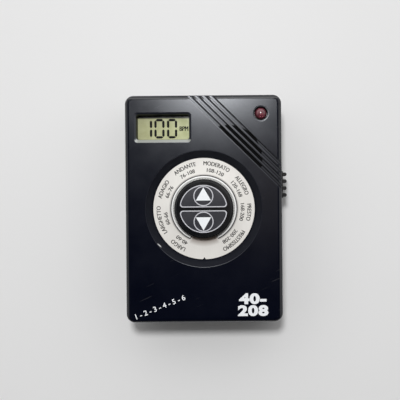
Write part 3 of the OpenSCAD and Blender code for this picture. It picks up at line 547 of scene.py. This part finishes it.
def cloth_black():
    """Plain weave: threads over and under at a fine pitch."""
    f = Finish("cloth_black", (0.002, 0.002, 0.0022), 0.9, Sheen_Weight=0.03, Specular_IOR_Level=0.15)
    pitch = 0.35
    waves = [f.maths("SINE", f.maths("MULTIPLY", f.part(axis), 2 * math.pi / pitch))
             for axis in ("X", "Y")]
    weave = f.maths("MULTIPLY_ADD", waves[0], waves[1], f.noise(0.2))
    f.colour(f.blend(f.between(weave, -0.5, 1.2), (0.001, 0.001, 0.0011), (0.004, 0.004, 0.0045)))
    return f.bump(weave, 0.05)


def sleeve(name, dark, light):
    """Soft wire sleeve, very slightly ribbed by the strands under it."""
    f = Finish(name, dark, 0.4)
    ribs = f.noise(0.35, place=f.stretched(1, 0.3, 1))
    f.colour(f.blend(f.spread(ribs), dark, light))
    return f.bump(ribs, 0.02)


def wire_red():
    return sleeve("wire_red", (0.36, 0.015, 0.015), (0.46, 0.03, 0.026))


def wire_black():
    return sleeve("wire_black", (0.014, 0.014, 0.014), (0.024, 0.024, 0.024))


def brass_contact():
    return metal("brass_contact", (0.66, 0.5, 0.22), (0.8, 0.64, 0.34), 0.3)


def battery_skin():
    """Printed steel can: a graphite jacket with a pale band at the terminal end."""
    f = Finish("battery_skin", (0.03, 0.034, 0.045), 0.3, metallic=0.35)
    edge = corners("battery")[1].x
    along = f.part("X")
    band = f.between(along, edge - 12.0, edge - 11.9)
    line = f.overlap(f.between(along, edge - 13.4, edge - 13.3),
                     f.between(along, edge - 12.6, edge - 12.7))
    seam = f.between(along, edge - 1.1, edge - 1.0)
    scuffs = f.noise(3, detail=5, roughness=0.7)
    jacket = f.blend(f.between(scuffs, 0.4, 0.7), (0.028, 0.032, 0.042), (0.05, 0.055, 0.066))
    printed = f.blend(f.maths("MAXIMUM", band, line), jacket, (0.46, 0.48, 0.5))
    f.colour(f.blend(seam, printed, (0.62, 0.62, 0.61)))
    f.rough(f.spread(scuffs, 0.24, 0.4))
    return f.bump(f.maths("ADD", seam, f.noise(1.5)), 0.03)


def ink(name, dark, light, roughness, **sockets):
    """Screen-printed ink: slightly uneven, with a soft mesh texture."""
    f = Finish(name, dark, roughness, **sockets)
    patchy = f.noise(0.35, detail=3)
    f.colour(f.blend(f.spread(patchy), dark, light))
    return f.bump(patchy, 0.004)


def print_white():
    return ink("print_white", (0.77, 0.79, 0.82), (0.86, 0.88, 0.9), 0.45)


def print_silver():
    return ink("print_silver", (0.46, 0.46, 0.5), (0.58, 0.58, 0.62), 0.4)


def print_dark():
    return ink("print_dark", (0.006, 0.006, 0.006), (0.012, 0.012, 0.0115), 0.8, Specular_IOR_Level=0.2)


# ---------- meshes ----------

def arc(radius, start, end, steps, centre=(0, 0)):
    """Points along an arc, angles in degrees anticlockwise from X."""
    turns = [math.radians(start + (end - start) * i / steps) for i in range(steps + 1)]
    return [(centre[0] + radius * math.cos(t), centre[1] + radius * math.sin(t)) for t in turns]


def half_moon(radius, flat, corner):
    """The outline of a half-moon whose flat side lies at y = flat, with round corners."""
    x = math.sqrt((radius - corner) ** 2 - (flat + corner) ** 2)
    turn = math.degrees(math.atan2(flat + corner, x))
    return (arc(radius, turn, 180 - turn, 96)
            + arc(corner, 180 - turn, 270, 10, (-x, flat + corner))
            + arc(corner, -90, turn, 10, (x, flat + corner)))


class Sheet:
    """Collects flat shapes in millimetres, then makes one thin solid piece of them."""

    def __init__(self):
        self.points = []
        self.faces = []

    def add(self, points, faces):
        start = len(self.points)
        self.points += points
        self.faces += [[start + i for i in face] for face in faces]

    def polygon(self, points):
        self.add(list(points), [list(range(len(points)))])

    def band(self, outer, inner):
        """The strip between two outlines that have as many points as each other."""
        n = len(outer)
        self.add(outer + inner, [[i, (i + 1) % n, n + (i + 1) % n, n + i] for i in range(n)])

    def text(self, words, height, place, weight=0.0, spacing=1.0, width=1.0):
        """Lettering of a capital height, put in place by a function from (x, y) to (x, y)."""
        points, faces = lettering(words, height, weight, spacing)
        self.add([place(x * width, y) for x, y in points], faces)

    def piece(self, name, z, slot, body, thickness=PRINT_T, mirrored=False):
        """The sheet as a solid from z upward, mirrored front to back if asked."""
        side = -1 if mirrored else 1
        points = [(x, side * y, z) for x, y in self.points]
        return solid(name, points, self.faces, slot, body, thickness)


def solid(name, points, faces, slot, body, thickness=0.0):
    """A piece of the object, raised by a thickness if its faces are flat. It rides on a body and
    wears a slot's finish.
    """
    mesh = bpy.data.meshes.new(name)
    mesh.from_pydata([(x * MM, y * MM, z * MM) for x, y, z in points], [], faces)
    bm = bmesh.new()
    bm.from_mesh(mesh)
    bmesh.ops.remove_doubles(bm, verts=bm.verts, dist=WELD * MM)
    bmesh.ops.dissolve_degenerate(bm, edges=bm.edges, dist=WELD / 10 * MM)
    if thickness:
        raised = bmesh.ops.extrude_face_region(bm, geom=list(bm.faces), use_keep_orig=True)["geom"]
        lifted = [part for part in raised if isinstance(part, bmesh.types.BMVert)]
        bmesh.ops.translate(bm, vec=(0, 0, thickness * MM), verts=lifted)
    bmesh.ops.recalc_face_normals(bm, faces=bm.faces)
    bm.to_mesh(mesh)
    bm.free()
    piece = bpy.data.objects.new(name, mesh)
    bpy.context.scene.collection.objects.link(piece)
    mesh.materials.append(finishes[slot])
    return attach(piece, body)


def lettering(words, height, weight, spacing):
    """Flat faces of a line of lettering, its capitals height tall and centred on the origin."""
    capital_share = 0.7
    curve = bpy.data.curves.new("lettering", "FONT")
    curve.body = words
    curve.size = height / capital_share
    curve.offset = weight
    curve.space_character = spacing
    curve.resolution_u = 4
    curve.align_x = "CENTER"
    holder = bpy.data.objects.new("lettering", curve)
    bpy.context.scene.collection.objects.link(holder)
    bpy.context.view_layer.update()
    filled = holder.evaluated_get(bpy.context.evaluated_depsgraph_get())
    mesh = bpy.data.meshes.new_from_object(filled)
    points = [(v.co.x, v.co.y - height / 2) for v in mesh.vertices]
    faces = [list(p.vertices) for p in mesh.polygons]
    bpy.data.objects.remove(holder)
    bpy.data.curves.remove(curve)
    bpy.data.meshes.remove(mesh)
    return points, faces


def round_dial(radius, clockwise, shift):
    """A place function: lettering bent round the dial, its tops outward."""
    def place(x, y):
        turn = math.radians(clockwise) + (x + shift) / radius
        return ((radius + y) * math.sin(turn), (radius + y) * math.cos(turn))
    return place


def slanted(x0, y0, turn=0.0):
    """A place function: lettering moved to a point and turned, in degrees."""
    c, s = math.cos(math.radians(turn)), math.sin(math.radians(turn))
    return lambda x, y: (x0 + c * x - s * y, y0 + s * x + c * y)


# ---------- pieces ----------

def strikes(shift):
    """Two strikes of the same lettering side by side, which make its upright strokes heavier:
    the number, the shift and the thickness of each. Their tops don't share a plane.
    """
    return ((0, -shift, PRINT_T), (1, shift, 0.8 * PRINT_T))


def dial_print():
    """The tempo scale, struck twice."""
    for strike, shift, thickness in strikes(0.06):
        sheet = Sheet()
        for word, span, turn in TEMPI:
            sheet.text(word, WORD_H, round_dial(WORD_R, turn, shift), spacing=0.98, width=0.86)
            sheet.text(span, RANGE_H, round_dial(RANGE_R, turn, shift), spacing=1.02, width=1.02)
        sheet.piece(f"dial_print_{strike}", top("dial_plate"), "print_dark", "case", thickness)


def key_print(key, body, mirrored):
    """The sunk outline, the ring and the arrow, just below the top of the key."""
    depth = MARK_DEPTH - MARK_LOW
    z = top(key) - MARK_DEPTH
    key_mid = (0, (KEY_R + KEY_FLAT) / 2)
    lines = Sheet()
    lines.band(half_moon(KEY_R, KEY_FLAT, KEY_CORNER_R),
               half_moon(KEY_R - LINE_W, KEY_FLAT + LINE_W, KEY_CORNER_R - LINE_W / 2))
    lines.piece(key + "_outline", z, "print_silver", body, depth, mirrored)
    ring = Sheet()
    ring.band(*(arc(radius, 0, 360, 72, key_mid)[:-1] for radius in (RING_R, RING_R - LINE_W)))
    ring.piece(key + "_ring", z, "print_silver", body, depth - RING_LOW, mirrored)
    arrow = Sheet()
    arrow.polygon(arc(RING_R - LINE_W - 0.1, 90, 450, 3, key_mid)[:-1])
    arrow.piece(key + "_arrow", z, "print_white", body, depth, mirrored)


def segment(sheet, a, b):
    """One segment of a digit: a bar from a to b with pointed ends."""
    a, b = Vector(a), Vector(b)
    tip = (b - a).normalized() * DIGIT_T / 2
    side = Vector((-tip.y, tip.x))
    outline = (a, a + tip + side, b - tip + side, b, b - tip - side, a + tip - side)
    sheet.polygon([tuple(point) for point in outline])


def digit(sheet, number, x, y):
    """A seven-segment 0 or 1 about (x, y); the 1 is a single column."""
    half_w = (DIGIT_W - DIGIT_T) / 2
    columns = (x,) if number else (x + half_w, x - half_w)
    for way in (-1, 1):
        inner = y + way * 2 * DIGIT_GAP
        outer = y + way * (DIGIT_H - DIGIT_T) / 2
        for column in columns:
            segment(sheet, (column, inner), (column, outer - way * DIGIT_GAP))
        if not number:
            segment(sheet, (x - half_w + DIGIT_GAP, outer), (x + half_w - DIGIT_GAP, outer))


def lcd_digits():
    """100 on the display, as seven-segment digits, with its unit beside it, struck twice."""
    centre = middle("lcd_glass")
    row_y = centre.y - 0.2
    sheet = Sheet()
    for number, shift in ((1, -5.65), (0, -1.85), (0, 3.85)):
        digit(sheet, number, centre.x + shift, row_y)
    sheet.piece("lcd_digits", top("lcd_glass"), "print_dark", "case")
    for strike, shift, thickness in strikes(0.1):
        unit = Sheet()
        place = slanted(centre.x + 9.2 + shift, row_y)
        unit.text("BPM", height=2.1, place=place, width=0.74)
        unit.piece(f"lcd_unit_{strike}", top("lcd_glass"), "print_dark", "case", thickness)


def face_print():
    """Plain numbers on the face: the beats of a bar, and the range of tempi."""
    sheet = Sheet()
    beats_place = slanted(-20.0, -43.7, turn=21.5)
    sheet.text("1 - 2 - 3 - 4 - 5 - 6", height=2.3, place=beats_place, weight=0.05)
    for words, y in (("40-", -40.2), ("208", -45.5)):
        place = slanted(21.6, y)
        sheet.text(words, height=4.3, place=place, weight=0.32, width=1.35, spacing=1.1)
    sheet.piece("face_print", top("front_shell"), "print_white", "case")


def lamp_cup():
    """The small reflector cup and its post inside the lamp's lens: a profile, as radius and
    height from the cup's middle, turned about the lamp's axis.
    """
    centre = middle("led_lens")
    cup_z = top("led_lens") - 4.6
    profile = [(0.0, 0.5), (0.55, 0.5), (1.15, 1.25), (1.3, 1.25), (1.3, -1.6), (0.0, -1.6)]
    steps = 32
    points = [(x, y, cup_z + z) for radius, z in profile
              for x, y in arc(radius, 0, 360, steps, (centre.x, centre.y))[:-1]]
    faces = []
    for ring in range(0, len(points) - steps, steps):
        for i in range(steps):
            after = (i + 1) % steps
            faces.append([ring + i, ring + after, ring + steps + after, ring + steps + i])
    solid("lamp_cup", points, faces, "tinned_metal", "case")


def battery_marks():
    """Plus, minus and the voltage on the side of the battery that faces the door."""
    low, high = corners("battery")
    y = middle("battery").y
    poles = Sheet()
    for sign, words in ((1, "+"), (-1, "-")):
        place = slanted(high.x - 6.5, y + sign * 6.4, turn=90)
        poles.text(words, height=4.0, place=place, weight=0.15)
    poles.piece("battery_poles", low.z, "print_dark", "case", -PRINT_T)
    volts = Sheet()
    volts.text("9 V", height=6.0, place=slanted(high.x - 30, y, turn=90), weight=0.2)
    volts.piece("battery_volts", low.z, "print_white", "case", -PRINT_T)


# ---------- stage ----------

def floor():
    """A plain pale floor."""
    half = FLOOR_W / 2 * MM
    mesh = bpy.data.meshes.new("floor")
    mesh.from_pydata([(-half, -half, 0), (half, -half, 0), (half, half, 0), (-half, half, 0)],
                     [], [[0, 1, 2, 3]])
    piece = bpy.data.objects.new("floor", mesh)
    bpy.context.scene.collection.objects.link(piece)
    piece.location.z = -FLOOR_DROP * MM
    f = Finish("floor_pale", (0.80, 0.80, 0.80), 0.8, Specular_IOR_Level=0.1)
    f.colour(f.blend(f.noise(60), (0.79, 0.79, 0.79), (0.81, 0.81, 0.81)))
    mesh.materials.append(f.material)


def disk_lamp(name, size, energy, place, colour=(1.0, 1.0, 1.0)):
    """A round lamp aimed at the case; its place and its size are in millimetres."""
    lamp = bpy.data.lights.new(name, "AREA")
    lamp.shape = "DISK"
    lamp.size = size * MM
    lamp.energy = energy
    lamp.color = colour
    holder = bpy.data.objects.new(name, lamp)
    bpy.context.scene.collection.objects.link(holder)
    holder.location = Vector(place) * MM
    target = Vector((0, 0, 20)) * MM
    holder.rotation_euler = (target - holder.location).to_track_quat("-Z", "Y").to_euler()


def lamps():
    """A small soft lamp high up, a little towards the display end, whose glow fades down the face,
    and a very faint warm one overhead, whose glow lies on the right of the face.
    """
    disk_lamp("key_light", size=100, energy=2.25, place=(-13, 183, 595))
    disk_lamp("warm_light", size=120, energy=0.02, place=(66, 8, 595), colour=(1.0, 0.85, 0.72))


def world():
    """A pale room: bright low down and towards the display end, dim overhead. Past the edge of
    the floor the camera sees one plain tone.
    """
    room = bpy.data.worlds.new("room")
    bpy.context.scene.world = room
    room.use_nodes = True
    g = Graph(room.node_tree, "Generated")
    height = g.between(g.part("Z", g.place), 0.70, 0.92, 0.42, 0.02)
    side = g.between(g.part("Y", g.place), -0.6, 0.6, 0.15, 2.7)
    seen = g.node("ShaderNodeLightPath").outputs["Is Camera Ray"]
    room_light = g.maths("MULTIPLY", height, side)
    strength = g.node("ShaderNodeMix", {0: seen, 2: room_light, 3: BACKDROP}).outputs[0]
    background = g.tree.nodes["Background"]
    background.inputs["Color"].default_value = (1.0, 1.0, 1.0, 1)
    g.tree.links.new(strength, background.inputs["Strength"])


def camera():
    """Square to the face from above its right half, turned by half a degree, and shifted to
    frame it.
    """
    lens = bpy.data.cameras.new("camera")
    lens.lens = 64.66
    lens.sensor_width = 36
    lens.clip_start = 10 * MM
    lens.shift_x = -0.089
    lens.shift_y = -0.0224
    holder = bpy.data.objects.new("camera", lens)
    bpy.context.scene.collection.objects.link(holder)
    holder.location = Vector((14.26, 7.76, 345.4)) * MM
    holder.rotation_euler = (0, 0, math.radians(-0.5))
    bpy.context.scene.camera = holder


# ---------- build ----------

camera()
finishes = {f.__name__: f().material for f in (
    case_black, case_back, scale_plate, collar_silver, hub_black, key_charcoal, knob_black,
    white_plastic, component_black, lcd_green, reflector, frame_grey, strip_pink, lamp_red,
    tinned_metal, board_green, screw_steel, capacitor_blue, resistor_tan, speaker_steel,
    cone_paper, foam_black, cloth_black, wire_red, wire_black, brass_contact, battery_skin,
    print_white, print_silver, print_dark)}
for part in frame["record"]["subparts"]:
    mesh = nodes[part["node"]].data
    mesh.materials.clear()
    mesh.materials.append(finishes[part["material_slot"]])

dial_print()
key_print("key_up", "upper_key", mirrored=False)
key_print("key_down", "lower_key", mirrored=True)
lcd_digits()
face_print()
lamp_cup()
battery_marks()
floor()
lamps()
world()
bpy.context.scene.view_settings.view_transform = "Standard"
